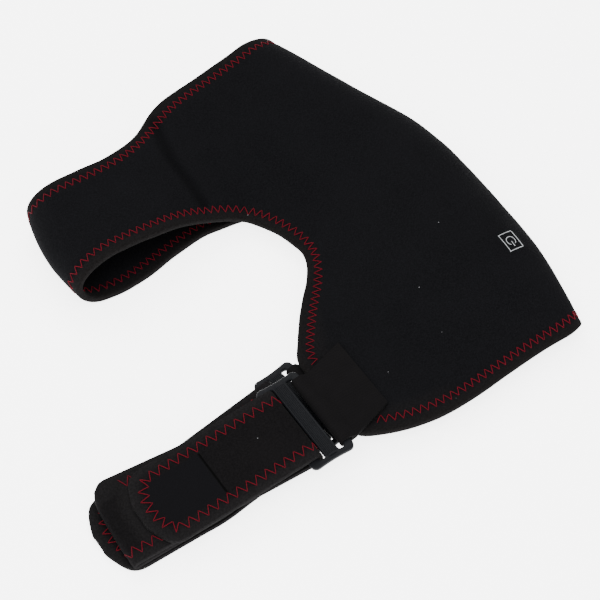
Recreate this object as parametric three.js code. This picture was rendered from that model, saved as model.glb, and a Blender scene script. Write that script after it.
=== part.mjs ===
// Heated joint wrap lying folded on a table: a neoprene shell whose band closes into a ring round the
// limb and whose two flaps meet over a rounded fold, a double strap on two three-bar buckles, and a
// power button under the cloth. Millimetres, +Z up.
import * as THREE from "three";
import { mergeVertices } from "three/addons/utils/BufferGeometryUtils.js";

// Driving dimensions
const bodyWidth = 237; // rolled end of the band to the fold
const bodyLength = 287; // hem to the stitched top edge
const foldHeight = 38; // height of the rounded fold at its fullest
const bandHeight = 35; // height of the ring where the band turns back under itself
const rollBulge = 5; // how far the rolled end stands out between its two edges
const wall = 4.5; // neoprene shell
const layerGap = 0.5; // air between the two flaps where they lie on each other
const clearance = 0.3; // gap between pieces that touch
const padRise = 0.8; // height of the step at the edge of the heating pad
const padEdgeSoftness = 7; // width over which that step rises
const backSetback = 15; // how far the back flap ends before the front flap
const backInset = 7; // how far the back flap's inner edge lies behind the front's
const backHemInset = 8; // how far the back flap's hem lies behind the front's

const strapWidth = 52;
const strapFoldWidth = 56.5; // the strap spreads where it is folded on itself
const strapFoldSlant = 0.06; // run of the folded edge along the strap, for each millimetre across
const strapFoldBow = 1; // how far the folded edge stands out between its corners
const strapFoldCorner = 9; // rounding of the folded edge's inner corner
const strapThickness = 3;
const strapAngle = 169; // degrees from +X to the strap's free direction
const strapReachTop = 127.5; // flap end to the top run's rounded tip
const strapReachFold = 142; // flap end to the fold between the middle runs
const strapReachBottom = 151.5; // flap end to the bottom run's rounded tip
const strapShiftTop = -12; // across the strap, from the middle of the flap end
const strapShiftFold = -6;
const strapShiftBottom = -9;
const strapBendReach = 88; // where the two lower runs bend towards the back buckle
const strapBendShift = -7;
const strapBendSpread = 24; // length over which they bend
const strapBendRadius = 3.35; // middle of the strap, round a buckle bar
const tipLength = 17; // length over which a strap tip is rounded
const tipBluntness = 0.6; // length that the rounding lacks at the very tip

const slotLength = 54;
const railWidth = 4.2; // buckle end rails, along the bars
const buckleThickness = 2.8;
const strapBarWidth = 6;
const strapSlotWidth = 3.8;
const ribBarWidth = 8.8;
const tabSlotWidth = 3.8;
const tabBarWidth = 5;
const buckleBevel = 0.5;
const buckleCorner = 4;
const strapSlotCorner = 0.8;
const tabSlotCorner = 1.2;
const railWaist = 1; // how far each end rail is drawn in at its middle
const frontBuckleTilt = 6; // degrees, tab bar up
const frontBuckleReach = 29.3; // flap end to the strap bar
const backBuckleReach = 18.8;
const frontBuckleShift = -8.7; // across the strap, from the middle of the flap end
const backBuckleShift = 4.2;

const webbingWidth = 50;
const webbingThickness = 1.2;
const webbingSewnLength = 26; // webbing on the flap, from the flap end
const webbingThroat = 5; // from the loop round the bar to where the two layers meet
const webbingLoopSlack = 1.5; // open length of the loop beside the bar
const webbingSkew = 0.34; // sideways run of the front webbing for each millimetre of its length

const buttonSide = 16;
const buttonHeight = 1.1;
const buttonCorner = 2.5;
const buttonBevel = 1.6;

// Heights that follow from the sizes above
const strapPitch = strapThickness + clearance;
const backBarHeight = strapThickness / 2 + strapBendRadius;
const frontBarHeight = backBarHeight + 2 * strapBendRadius + strapPitch;
const loopHalfHeight = buckleThickness / 2 + clearance + webbingThickness;
const backFlapLift = 2 * webbingThickness + clearance; // the back flap's end lies on its webbing
const frontFlapLift = Math.max(backFlapLift, backBarHeight + loopHalfHeight + clearance - wall - layerGap);
const frontFlapTop = 2 * wall + layerGap + frontFlapLift;

// Sections of the flaps, from the hem to the top corner. X columns are shares of bodyWidth from the rolled
// end, Y columns shares of bodyLength from the hem, height a share of foldHeight. Flat is the share of
// the section that lies on the back flap, lift the share of the webbing's thickness under it, and bow
// the sag of the section towards the hem, as a share of bodyLength.
const flapSections = table(
  ["innerX", "innerY", "shoulderX", "shoulderY", "foldX", "foldY", "height", "flat", "lift", "bow"],
  [
    [0.22, 0.122, 0.787, 0.004, 0.847, 0, 0.29, 0.25, 1, 0.042],
    [0.23, 0.193, 0.775, 0.088, 0.872, 0.066, 0.56, 0.33, 1, 0.032],
    [0.247, 0.261, 0.766, 0.157, 0.893, 0.127, 0.77, 0.3, 1, 0.018],
    [0.266, 0.331, 0.756, 0.227, 0.916, 0.191, 0.92, 0.27, 1, 0],
    [0.306, 0.367, 0.781, 0.303, 0.937, 0.272, 0.98, 0.22, 0.7, 0],
    [0.357, 0.406, 0.822, 0.372, 0.956, 0.352, 1, 0.15, 0.3, 0],
    [0.411, 0.443, 0.865, 0.443, 0.974, 0.432, 1, 0.12, 0, 0],
    [0.462, 0.474, 0.886, 0.512, 0.988, 0.512, 1, 0.1, 0, 0],
    [0.5, 0.507, 0.889, 0.589, 0.991, 0.589, 1, 0.1, 0, 0],
    [0.519, 0.546, 0.884, 0.665, 0.979, 0.665, 0.99, 0.1, 0, 0],
    [0.519, 0.59, 0.879, 0.749, 0.964, 0.749, 0.97, 0.08, 0, 0],
    [0.506, 0.639, 0.865, 0.861, 0.951, 0.854, 0.95, 0.06, 0, 0],
    [0.489, 0.677, 0.841, 1, 0.932, 0.99, 0.92, 0.05, 0, 0],
  ]
);

// Sections of the band's upper layer, from the flaps to the roll. Inner is the edge at the armpit, outer
// the stitched top edge; the heights are shares of bandHeight.
const bandTopSections = table(
  ["innerX", "innerY", "outerX", "outerY", "innerHeight", "outerHeight"],
  [
    [0.489, 0.677, 0.841, 1, 0.28, 1],
    [0.462, 0.691, 0.775, 1, 0.35, 0.985],
    [0.435, 0.702, 0.706, 1, 0.43, 0.97],
    [0.405, 0.71, 0.627, 1, 0.52, 0.96],
    [0.371, 0.718, 0.546, 0.998, 0.62, 0.95],
    [0.333, 0.723, 0.47, 0.979, 0.73, 0.945],
    [0.289, 0.726, 0.399, 0.958, 0.84, 0.96],
    [0.234, 0.73, 0.319, 0.956, 0.93, 0.985],
    [0.175, 0.738, 0.243, 0.966, 0.98, 1],
    [0.125, 0.744, 0.185, 0.975, 1, 1],
  ]
);

// Furthest line of the roll, and sections of the band's lower layer from the roll back to the flaps
const rollLine = { innerX: 0.012, innerY: 0.752, outerX: 0.088, outerY: 0.992 };
const bandBottomSections = table(
  ["innerX", "innerY", "outerX", "outerY"],
  [
    [0.085, 0.736, 0.15, 1],
    [0.141, 0.724, 0.22, 0.993],
    [0.217, 0.721, 0.323, 0.976],
    [0.306, 0.726, 0.428, 0.976],
    [0.388, 0.724, 0.546, 0.988],
    [0.441, 0.712, 0.66, 0.987],
    [0.483, 0.702, 0.774, 0.989],
    [0.509, 0.694, 0.885, 0.991],
  ]
);

// Edge of the heating pad on the upper layer, as shares of bodyWidth and bodyLength
const padEdge = { lowX: 0.435, lowY: 0.72, highX: 0.49, highY: 0.971 };
// Place of the button on the fold's upper curve: section number, and share from shoulder to fold
const buttonPlace = { section: 3.05, share: 0.56 };

// Mesh density
const flapSteps = 30;
const acrossSteps = 10;
const foldSteps = 8;
const bandTopSteps = 16;
const rollSteps = 9;
const bandBottomSteps = 13;
const strapAcrossSteps = 6;
const foldSharpness = 2.3; // exponent of the fold's rounded section
const bottomShoulder = 0.5; // lower shoulder of the fold, as a share of the upper one
const seamZone = 0.45; // share of the flap sections evened out with the band
const smoothingPasses = 14; // evening out of the upper layer where flap and band sections meet

function table(columns, rows) {
  return Object.fromEntries(columns.map((name, i) => [name, rows.map((row) => row[i])]));
}

// Curve through evenly spaced values that never swings past them.
function along(values, place) {
  const last = values.length - 1;
  const i = Math.min(Math.floor(place), last - 1);
  const f = place - i;
  const slopeAt = (k) => {
    const before = values[Math.max(k, 1)] - values[Math.max(k, 1) - 1];
    const after = values[Math.min(k, last - 1) + 1] - values[Math.min(k, last - 1)];
    return before * after <= 0 ? 0 : (2 * before * after) / (before + after);
  };
  const [a, b] = [values[i], values[i + 1]];
  const hermite = (1 + 2 * f) * (1 - f) ** 2 * a + f * (1 - f) ** 2 * slopeAt(i);
  return hermite + f * f * (3 - 2 * f) * b - f * f * (1 - f) * slopeAt(i + 1);
}

function section(sections, place) {
  return Object.fromEntries(Object.entries(sections).map(([name, values]) => [name, along(values, place)]));
}

const mix = (a, b, share) => a + (b - a) * share;
const clamp01 = (t) => Math.min(1, Math.max(0, t));
const smoothStep = (t) => clamp01(t) ** 2 * (3 - 2 * clamp01(t));
const radians = THREE.MathUtils.degToRad;

// Rise from the part of a section that lies flat up to its shoulder.
const rise = (share, flat) => smoothStep((share - flat) / (1 - flat)) ** 0.8;

function padStep(x, y) {
  const share = (y / bodyLength - padEdge.lowY) / (padEdge.highY - padEdge.lowY);
  const edge = mix(padEdge.lowX, padEdge.highX, share) * bodyWidth;
  return padRise * smoothStep((x - edge) / padEdgeSoftness);
}

// Middle surface of the upper flap; share 0 is the inner edge, 1 the fold's shoulder.
function frontFlap(place, share) {
  const s = section(flapSections, place);
  const sag = 6.75 * share * (1 - share) ** 2 * s.bow * bodyLength;
  const x = mix(s.innerX, s.shoulderX, share) * bodyWidth;
  const y = mix(s.innerY, s.shoulderY, share) * bodyLength - sag;
  const low = 1.5 * wall + layerGap + frontFlapLift * s.lift;
  const high = s.height * foldHeight - wall / 2;
  const z = mix(low, high, rise(share, s.flat)) + padStep(x, y) * fadeIn(s.lift, share, s.flat);
  return new THREE.Vector3(x, y, z);
}

// The pad's step fades out towards the flap end, which carries no pad.
function fadeIn(lift, share, flat) {
  return 1 - lift * (1 - smoothStep((share - flat) / flat));
}

// Near the hem the lower flap is drawn in, so that its edge stays behind the upper one's.
const hemInset = (place) => backHemInset * clamp01(1 - place / 2);

// Rounded fold from the upper shoulder (turn 0) to the lower one (turn 1).
function foldArc(place, turn) {
  const s = section(flapSections, place);
  const angle = Math.PI * turn;
  const out = Math.sin(angle) ** (2 / foldSharpness);
  const up = Math.sign(Math.cos(angle)) * Math.abs(Math.cos(angle)) ** (2 / foldSharpness);
  const back = turn > 0.5 ? bottomShoulder : 1;
  const half = (s.height * foldHeight - wall) / 2;
  const x = mix(s.foldX, s.shoulderX, (1 - out) * back) * bodyWidth;
  const y = mix(s.foldY, s.shoulderY, (1 - out) * back) * bodyLength;
  const inset = hemInset(place) * smoothStep(turn);
  return new THREE.Vector3(x, y + inset, wall / 2 + half * (1 + up) + padStep(x, y) * clamp01(up));
}

// Middle surface of the lower flap, set back from the upper one's edge so that it stays hidden.
function backFlap(place, share) {
  const s = section(flapSections, place);
  const low = new THREE.Vector2(
    mix(s.foldX, s.shoulderX, bottomShoulder) * bodyWidth,
    mix(s.foldY, s.shoulderY, bottomShoulder) * bodyLength
  );
  const inner = new THREE.Vector2(s.innerX * bodyWidth, s.innerY * bodyLength);
  inner.lerp(low, mix(backInset, backSetback, s.lift) / inner.distanceTo(low));
  const sag = 7 * share * (1 - share) ** 3 * s.bow * bodyLength;
  const lift = backFlapLift * s.lift * (1 - smoothStep((share - s.flat) / s.flat));
  const spot = inner.lerp(low, share);
  return new THREE.Vector3(spot.x, spot.y - sag + hemInset(place), wall / 2 + lift);
}

function bandTop(place, share) {
  const s = section(bandTopSections, place);
  const x = mix(s.innerX, s.outerX, share) * bodyWidth;
  const y = mix(s.innerY, s.outerY, share) * bodyLength;
  const low = s.innerHeight * bandHeight - wall / 2;
  const high = s.outerHeight * bandHeight - wall / 2;
  return new THREE.Vector3(x, y, mix(low, high, rise(share, 0.05)) + padStep(x, y));
}

function bandRoll(turn, share) {
  const angle = Math.PI * turn;
  const top = bandTop(bandTopSections.innerX.length - 1, share);
  const bottom = bandBottom(0, share);
  const shoulder = turn > 0.5 ? bottom : top;
  const farX = mix(rollLine.innerX, rollLine.outerX, share) * bodyWidth;
  const farY = mix(rollLine.innerY, rollLine.outerY, share) * bodyLength;
  const out = Math.sin(angle);
  const bulge = rollBulge * 4 * share * (1 - share);
  const z = mix(bottom.z, top.z, (1 + Math.cos(angle)) / 2);
  return new THREE.Vector3(mix(shoulder.x, farX - bulge + wall / 2, out), mix(shoulder.y, farY, out), z);
}

function bandBottom(place, share) {
  const s = section(bandBottomSections, place);
  const x = mix(s.innerX, s.outerX, share) * bodyWidth;
  return new THREE.Vector3(x, mix(s.innerY, s.outerY, share) * bodyLength, wall / 2);
}

// Closed wall of a given thickness round a sheet of four-cornered faces.
function thicken(points, quads, thickness) {
  const normals = points.map(() => new THREE.Vector3());
  for (const [a, b, c, d] of quads) {
    const normal = points[c].clone().sub(points[a]).cross(points[d].clone().sub(points[b]));
    for (const corner of [a, b, c, d]) normals[corner].add(normal);
  }
  normals.forEach((normal) => normal.setLength(thickness / 2));
  const side = (sign) => points.flatMap((p, i) => p.clone().addScaledVector(normals[i], sign).toArray());
  const index = [];
  const face = (a, b, c, d) => index.push(a, b, c, a, c, d);
  const under = points.length;
  const edges = new Set();
  for (const q of quads) {
    face(...q);
    face(...q.map((k) => k + under).reverse());
    q.forEach((a, i) => edges.add(`${a},${q[(i + 1) % 4]}`));
  }
  for (const edge of edges) {
    const [a, b] = edge.split(",").map(Number);
    if (!edges.has(`${b},${a}`)) face(b, a, a + under, b + under);
  }
  const geometry = new THREE.BufferGeometry();
  geometry.setAttribute("position", new THREE.Float32BufferAttribute([...side(1), ...side(-1)], 3));
  geometry.setIndex(index);
  return facingOut(geometry);
}

// Turns a closed mesh the right way round if it encloses a negative volume.
function facingOut(geometry) {
  const position = geometry.getAttribute("position");
  const index = [...geometry.index.array];
  const corner = (k) => new THREE.Vector3().fromBufferAttribute(position, index[k]);
  let volume = 0;
  for (let k = 0; k < index.length; k += 3) volume += corner(k).dot(corner(k + 1).cross(corner(k + 2)));
  if (volume < 0) {
    for (let k = 0; k < index.length; k += 3) [index[k], index[k + 1]] = [index[k + 1], index[k]];
  }
  geometry.setIndex(index);
  geometry.computeVertexNormals();
  return geometry;
}

const steps = (count, first = 0, last = count) =>
  Array.from({ length: last - first + 1 }, (_, i) => (first + i) / count);

// Evens out the heights of chosen points with their neighbours'.
function relax(points, quads, chosen) {
  const neighbours = points.map(() => new Set());
  for (const q of quads) {
    q.forEach((a, i) => neighbours[a].add(q[(i + 1) % 4]) && neighbours[q[(i + 1) % 4]].add(a));
  }
  for (let pass = 0; pass < smoothingPasses; pass++) {
    const heights = points.map((point) => point.z);
    for (const i of chosen) {
      const around = [...neighbours[i]];
      const mean = around.reduce((sum, k) => sum + heights[k], 0) / around.length;
      points[i].z = mix(heights[i], mean, 0.5);
    }
  }
}

// Neoprene shell: flap sections wrap round the fold; band sections run round the ring and close on the
// last flap section, above and below.
function bodyGeometry() {
  const points = [];
  const place = (row) => row.map((point) => points.push(point) - 1);
  const lastSection = flapSections.innerX.length - 1;
  const flapRows = steps(flapSteps).map((t) =>
    place([
      ...steps(acrossSteps).map((share) => frontFlap(t * lastSection, share)),
      ...steps(foldSteps, 1, foldSteps - 1).map((turn) => foldArc(t * lastSection, turn)),
      ...steps(acrossSteps).map((share) => backFlap(t * lastSection, 1 - share)),
    ])
  );
  const seam = flapRows[flapSteps];
  const lastTop = bandTopSections.innerX.length - 1;
  const lastBottom = bandBottomSections.innerX.length - 1;
  const bandRow = (surface, t) => place(steps(acrossSteps).map((share) => surface(t, share)));
  const bandRows = [
    seam.slice(0, acrossSteps + 1),
    ...steps(bandTopSteps, 1).map((t) => bandRow(bandTop, t * lastTop)),
    ...steps(rollSteps, 1).map((t) => bandRow(bandRoll, t)),
    ...steps(bandBottomSteps, 1, bandBottomSteps - 1).map((t) => bandRow(bandBottom, t * lastBottom)),
    seam.slice(-acrossSteps - 1).reverse(),
  ];
  const quads = [...gridFaces(flapRows), ...gridFaces(bandRows)];
  const middle = (row) => row.slice(1, acrossSteps);
  const seamRow = flapSteps * seamZone;
  relax(points, quads, [
    ...flapRows.slice(Math.round(flapSteps - seamRow)).flatMap(middle),
    ...bandRows.slice(1, bandTopSteps).flatMap(middle),
  ]);
  return thicken(points, quads, wall);
}

function gridFaces(rows) {
  return rows.slice(1).flatMap((next, i) =>
    next.slice(1).map((_, j) => [rows[i][j], next[j], next[j + 1], rows[i][j + 1]])
  );
}

// The strap's own frame starts at the middle of the front flap's end: u runs out along the strap, v across.
const flapEnd = frontFlap(1.5, 0);
const strapFrame = {
  u: new THREE.Vector3(Math.cos(radians(strapAngle)), Math.sin(radians(strapAngle)), 0),
  v: new THREE.Vector3(Math.sin(radians(strapAngle)), -Math.cos(radians(strapAngle)), 0),
};
function strapPoint(u, v, z) {
  const point = new THREE.Vector3(flapEnd.x, flapEnd.y, z);
  return point.addScaledVector(strapFrame.u, u).addScaledVector(strapFrame.v, v);
}

// The two lower runs bend towards the back buckle at a common line across the strap.
const strapBendTurn = Math.atan2(backBuckleShift - strapBendShift, strapBendReach - backBuckleReach);
const backBarRun = Math.hypot(backBuckleShift - strapBendShift, strapBendReach - backBuckleReach);
function lowerPoint(u, v, z) {
  const [du, dv] = [u - strapBendReach, v - strapBendShift];
  const turn = strapBendTurn * smoothStep(0.5 - du / strapBendSpread);
  return strapPoint(
    strapBendReach + du * Math.cos(turn) + dv * Math.sin(turn),
    strapBendShift - du * Math.sin(turn) + dv * Math.cos(turn),
    z);
}

// One straight run of the strap between two spots of its middle line, its rows gathered at the far end.
function strapRun(from, to, count, gather = 1) {
  const names = Object.keys(from);
  const between = (t) => Object.fromEntries(names.map((name) => [name, mix(from[name], to[name], t)]));
  return steps(count).map((t) => between(1 - (1 - t) ** gather));
}

// Half turn of the strap about a bar (side -1) or on itself (side 1).
function strapBend(centre, radius, side, count) {
  return steps(count, 1, count - 1).map((t) => ({
    ...centre,
    u: centre.u + side * radius * Math.sin(Math.PI * t),
    z: centre.z - radius * Math.cos(Math.PI * t),
  }));
}

function strapGeometry() {
  const bottom = strapThickness / 2;
  const foldRadius = strapPitch / 2;
  const plain = { width: strapWidth, slant: 0, bow: 0, corner: 0 };
  const folded = { width: strapFoldWidth, slant: strapFoldSlant, bow: strapFoldBow, corner: strapFoldCorner };
  const back = { ...plain, u: strapBendReach - backBarRun, v: strapBendShift, z: backBarHeight };
  const bend = { ...plain, u: strapBendReach, v: strapBendShift };
  const front = { ...plain, u: frontBuckleReach, v: frontBuckleShift, z: frontBarHeight };
  const foldCentre = bottom + 1.5 * strapPitch;
  const fold = { ...folded, u: strapReachFold - foldRadius, v: strapShiftFold, z: foldCentre };
  const level = (spot, offset) => ({ ...spot, z: spot.z + offset });
  const bottomTip = { ...plain, u: strapReachBottom, v: strapShiftBottom, z: bottom };
  const topTip = { ...plain, u: strapReachTop, v: strapShiftTop, z: bottom + 3 * strapPitch };
  const lowBend = { ...bend, z: bottom };
  const highBend = { ...bend, z: mix(back.z + strapBendRadius, fold.z - foldRadius, 0.5) };
  const frontShare = (strapReachFold - strapBendReach) / (strapReachFold - frontBuckleReach);
  const neck = {
    ...bend,
    v: mix(strapBendShift, frontBuckleShift, 0.5),
    z: mix(fold.z + foldRadius, front.z - strapBendRadius, frontShare),
  };
  const lowerRuns = [
    ...strapRun(bottomTip, lowBend, 14).slice(0, -1),
    ...strapRun(lowBend, level(back, -strapBendRadius), 12),
    ...strapBend(back, strapBendRadius, -1, 7),
    ...strapRun(level(back, strapBendRadius), highBend, 10).slice(0, -1),
    ...strapRun(highBend, level(fold, -foldRadius), 11, 2),
  ];
  const path = [
    ...lowerRuns,
    ...strapBend(fold, foldRadius, 1, 6),
    ...strapRun(neck, level(fold, foldRadius), 11, 2).reverse(),
    ...strapRun(neck, level(front, -strapBendRadius), 9).slice(1),
    ...strapBend(front, strapBendRadius, -1, 7),
    ...strapRun(level(front, strapBendRadius), topTip, 22),
  ];
  const lengths = path.map(() => 0);
  for (let i = 1; i < path.length; i++) {
    lengths[i] = lengths[i - 1] + Math.hypot(path[i].u - path[i - 1].u, path[i].z - path[i - 1].z);
  }
  const total = lengths[path.length - 1];
  const points = [];
  const rows = path.map((spot, i) => {
    const fromTip = Math.min(lengths[i], total - lengths[i]);
    const round = Math.sqrt(1 - (1 - clamp01((fromTip + tipBluntness) / tipLength)) ** 2.6);
    const pointAt = i < lowerRuns.length ? lowerPoint : strapPoint;
    const fromFold = clamp01((strapReachFold - spot.u) / strapFoldCorner);
    const cut = (2 * spot.corner * (1 - Math.sqrt(1 - (1 - fromFold) ** 2))) / spot.width;
    return steps(strapAcrossSteps).map((t) => {
      const across = (t - 0.5) * spot.width * round * (t > 0.5 ? 1 - cut : 1);
      const along = spot.u - spot.slant * across - spot.bow * Math.abs(2 * t - 1) ** 4;
      return points.push(pointAt(along, spot.v + across, spot.z)) - 1;
    });
  });
  return thicken(points, gridFaces(rows), strapThickness);
}

// Adds a rounded rectangle, stepped finely enough for its sides to bend, to a shape or a hole.
function roundedOutline(path, left, right, halfLength, radius, waist) {
  const corners = [
    [right - radius, halfLength - radius, 0],
    [left + radius, halfLength - radius, 90],
    [left + radius, -halfLength + radius, 180],
    [right - radius, -halfLength + radius, 270],
  ];
  const outline = corners.flatMap(([x, y, start]) =>
    steps(4).map((t) => [
      x + radius * Math.cos(radians(start + 90 * t)),
      y + radius * Math.sin(radians(start + 90 * t)),
    ])
  );
  const sideways = (x) => Math.sin(Math.PI * clamp01((x - left) / (right - left)));
  const dense = outline.flatMap((point, i) => {
    const next = outline[(i + 1) % outline.length];
    const count = waist > 0 && Math.abs(next[0] - point[0]) > 2 * radius ? 6 : 1;
    return steps(count, 0, count - 1).map((t) => [mix(point[0], next[0], t), mix(point[1], next[1], t)]);
  });
  dense.forEach(([x, y], i) => {
    const drawn = y - Math.sign(y) * waist * sideways(x);
    if (i === 0) path.moveTo(x, drawn);
    else path.lineTo(x, drawn);
  });
  path.closePath();
  return path;
}

// Three-bar buckle lying flat, its strap bar's round side at the origin and its tab bar towards -X.
const barPlaces = (() => {
  const strapBarEnd = strapBendRadius - strapThickness / 2 - clearance;
  const strapBarStart = strapBarWidth - strapBarEnd;
  const ribBarRight = -strapBarEnd - strapSlotWidth;
  const ribBarLeft = ribBarRight - ribBarWidth;
  const tabBarRight = ribBarLeft - tabSlotWidth;
  const tabBarLeft = tabBarRight - tabBarWidth;
  return { strapBarEnd, strapBarStart, ribBarRight, ribBarLeft, tabBarRight, tabBarLeft };
})();
const tabBarCentre = barPlaces.tabBarRight - tabBarWidth / 2;

function buckleGeometry() {
  const { strapBarEnd, strapBarStart, ribBarRight, ribBarLeft, tabBarRight, tabBarLeft } = barPlaces;
  const outline = roundedOutline(
    new THREE.Shape(), tabBarLeft, strapBarStart, slotLength / 2 + railWidth, buckleCorner, railWaist);
  const slot = (left, right, corner) => roundedOutline(new THREE.Path(), left, right, slotLength / 2, corner, 0);
  outline.holes.push(slot(ribBarRight, -strapBarEnd, strapSlotCorner));
  outline.holes.push(slot(tabBarRight, ribBarLeft, tabSlotCorner));
  const plate = new THREE.ExtrudeGeometry(outline, {
    depth: buckleThickness - 2 * buckleBevel,
    bevelThickness: buckleBevel,
    bevelSize: buckleBevel,
    bevelOffset: -buckleBevel,
    bevelSegments: 1,
  });
  plate.translate(0, 0, buckleBevel - buckleThickness / 2);
  return plate;
}

// Webbing folded round a buckle bar and sewn flat: its outline beside the bar, pushed through its width.
function webbingGeometry({ bar, sewnStart, sewnZ, shift, skew, pointAt }) {
  const reachU = tabBarWidth / 2 + clearance;
  const reachZ = buckleThickness / 2 + clearance;
  const outerZ = loopHalfHeight;
  const merge = bar.u - reachU - webbingThroat;
  const top = sewnZ + 2 * webbingThickness;
  const aroundBar = (u, z) => [
    bar.u + u * Math.cos(bar.tilt) + z * Math.sin(bar.tilt),
    bar.z - u * Math.sin(bar.tilt) + z * Math.cos(bar.tilt),
  ];
  const loopSide = (radius) =>
    steps(6).map((t) => {
      const angle = Math.PI * (0.5 - t);
      return aroundBar(reachU - reachZ + radius * Math.cos(angle), radius * Math.sin(angle));
    });
  const shape = new THREE.Shape();
  const outline = [
    [sewnStart, sewnZ], [sewnStart, top], [merge, top], aroundBar(-reachU, outerZ),
    ...loopSide(outerZ), aroundBar(-reachU, -outerZ), [merge, sewnZ],
  ];
  const opening = [
    aroundBar(-reachU, reachZ), aroundBar(-reachU - webbingLoopSlack, 0), aroundBar(-reachU, -reachZ),
    ...loopSide(reachZ).reverse(),
  ];
  shape.setFromPoints(outline.map(([u, z]) => new THREE.Vector2(u, z)));
  shape.holes.push(new THREE.Path(opening.map(([u, z]) => new THREE.Vector2(u, z))));
  const strip = new THREE.ExtrudeGeometry(shape, { depth: webbingWidth, bevelEnabled: false, steps: 4 });
  const position = strip.getAttribute("position");
  for (let i = 0; i < position.count; i++) {
    const u = position.getX(i);
    const run = Math.max(0, bar.u - reachU - u);
    const v = shift + position.getZ(i) - webbingWidth / 2 + skew * run;
    position.setXYZ(i, ...pointAt(u, v, position.getY(i)).toArray());
  }
  return facingOut(joined(strip));
}

function joined(geometry) {
  geometry.deleteAttribute("normal");
  geometry.deleteAttribute("uv");
  return mergeVertices(geometry, 1e-4);
}

// Soft square lens of the switch under the cloth, seated on the fold's upper curve.
function buttonMesh() {
  const { section: place, share } = buttonPlace;
  const turnAt = (out) => Math.asin(out ** (foldSharpness / 2)) / Math.PI;
  const at = (p, s) => foldArc(p, turnAt(s));
  const centre = at(place, share);
  const alongFold = at(place + 0.2, share).sub(at(place - 0.2, share)).normalize();
  const outwards = at(place, share + 0.05).sub(at(place, share - 0.05)).normalize();
  const up = outwards.clone().cross(alongFold).normalize();
  const across = alongFold.clone().cross(up);
  const outline = roundedOutline(
    new THREE.Shape(), -buttonSide / 2, buttonSide / 2, buttonSide / 2, buttonCorner, 0);
  const pad = new THREE.ExtrudeGeometry(outline, {
    depth: buttonHeight / 3,
    bevelThickness: buttonHeight / 3,
    bevelSize: buttonBevel,
    bevelOffset: -buttonBevel,
    bevelSegments: 2,
  });
  pad.translate(0, 0, wall / 2 + clearance + buttonHeight / 3);
  pad.applyMatrix4(new THREE.Matrix4().makeBasis(across, alongFold, up).setPosition(centre));
  return pad;
}

// Surfaces
const neoprene = new THREE.MeshStandardMaterial({ color: 0x141417, roughness: 0.9 });
const strapCloth = new THREE.MeshStandardMaterial({ color: 0x161515, roughness: 0.92 });
const webbing = new THREE.MeshStandardMaterial({ color: 0x1c1b1a, roughness: 0.75 });
const plastic = new THREE.MeshStandardMaterial({ color: 0x1b1c1f, roughness: 0.35 });
const buttonCloth = new THREE.MeshStandardMaterial({ color: 0x151518, roughness: 0.85 });

function piece(name, geometry, material) {
  const mesh = new THREE.Mesh(geometry, material);
  mesh.name = name;
  return mesh;
}

function buckle(name, place, tilt, turn) {
  const mesh = piece(name, facingOut(joined(buckleGeometry())), plastic);
  mesh.position.copy(place);
  mesh.rotation.set(0, tilt, radians(strapAngle) + turn, "ZYX");
  return mesh;
}

const tilt = radians(frontBuckleTilt);
const frontTab = {
  bar: {
    u: frontBuckleReach + tabBarCentre * Math.cos(tilt),
    z: frontBarHeight - tabBarCentre * Math.sin(tilt),
    tilt,
  },
  sewnStart: -webbingSewnLength,
  sewnZ: frontFlapTop + clearance,
  shift: frontBuckleShift,
  skew: webbingSkew,
  pointAt: strapPoint,
};
const backTab = {
  bar: { u: strapBendReach - backBarRun + tabBarCentre, z: backBarHeight, tilt: 0 },
  sewnStart: -webbingSewnLength - backSetback,
  sewnZ: 0,
  shift: strapBendShift,
  skew: -Math.tan(strapBendTurn),
  pointAt: lowerPoint,
};

const part = new THREE.Group();
part.add(piece("body", bodyGeometry(), neoprene));
part.add(piece("front_webbing_tab", webbingGeometry(frontTab), webbing));
part.add(piece("back_webbing_tab", webbingGeometry(backTab), webbing));
const frontBuckleSpot = strapPoint(frontBuckleReach, frontBuckleShift, frontBarHeight);
const backBuckleSpot = strapPoint(backBuckleReach, backBuckleShift, backBarHeight);
part.add(buckle("front_buckle", frontBuckleSpot, tilt, 0));
part.add(buckle("back_buckle", backBuckleSpot, 0, strapBendTurn));
part.add(piece("strap", strapGeometry(), strapCloth));
part.add(piece("power_button", buttonMesh(), buttonCloth));

// The origin is below the middle of the whole object, on the table.
const box = new THREE.Box3().setFromObject(part, true);
part.position.set(-(box.min.x + box.max.x) / 2, -(box.min.y + box.max.y) / 2, 0);

export default part;
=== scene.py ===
import math
from itertools import combinations

import bmesh
import bpy
from bpy.props import FloatProperty, FloatVectorProperty, IntProperty, PointerProperty
from mathutils import Matrix, Vector, noise
from mathutils.bvhtree import BVHTree
from mathutils.kdtree import KDTree


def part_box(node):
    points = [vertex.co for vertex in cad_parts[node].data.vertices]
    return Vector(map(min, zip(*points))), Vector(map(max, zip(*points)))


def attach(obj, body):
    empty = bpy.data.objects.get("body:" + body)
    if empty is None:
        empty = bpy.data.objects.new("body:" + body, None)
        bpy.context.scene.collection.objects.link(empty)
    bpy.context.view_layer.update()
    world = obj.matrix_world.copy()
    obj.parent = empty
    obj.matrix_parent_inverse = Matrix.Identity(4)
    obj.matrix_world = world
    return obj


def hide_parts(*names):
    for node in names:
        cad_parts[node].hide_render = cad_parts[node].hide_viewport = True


bl_info = {
    "name": "Heated joint wrap",
    "version": (1, 0, 0),
    "blender": (4, 5, 0),
    "location": "View3D > Sidebar > Joint wrap",
    "description": "Cloth, stitching, strap, buckles and button of a heated joint wrap",
    "category": "Object",
}

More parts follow.
